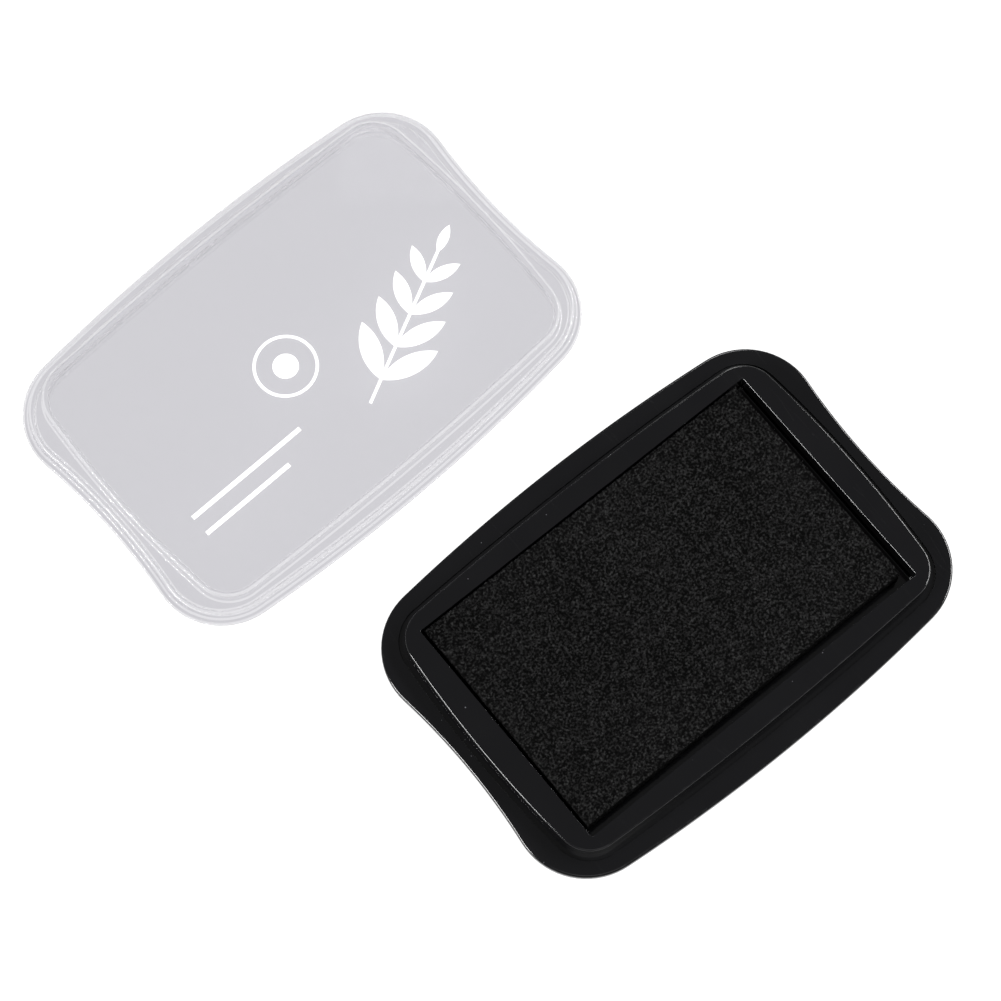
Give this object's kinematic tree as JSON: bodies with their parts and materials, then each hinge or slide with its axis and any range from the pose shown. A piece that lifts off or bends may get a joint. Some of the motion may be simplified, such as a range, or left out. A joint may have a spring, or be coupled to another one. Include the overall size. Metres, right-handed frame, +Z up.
{
  "type": "ink pad",
  "caption": "Ink pad for rubber stamps: a black two-part base holding a foam pad, and a clear lift-off lid lying beside it.",
  "frame": {"origin": "middle of the base's flat underside, which stands on the table", "axes": "+X along the base's long sides, +Y across it towards the lid, +Z up"},
  "size_m": [0.1189, 0.1491, 0.0122],
  "materials": {
    "base_plastic": "satin",
    "housing_plastic": "satin",
    "adhesive_sheet": "matte",
    "inked_foam": "matte",
    "clear_plastic": "gloss",
    "white_print": "matte"
  },
  "bodies": {
    "base": {"lower_shell": "base_plastic", "pad_housing": "housing_plastic", "pad_adhesive": "adhesive_sheet", "ink_foam": "inked_foam"},
    "lid": {"lid_shell": "clear_plastic", "lid_artwork": "white_print"}
  },
  "joints": [
    {"name": "lid_lift", "type": "slide", "parent": "base", "child": "lid", "axis": [0.2018, -0.7877, 0.5821], "range_m": [0, 0.10308]}
  ]
}
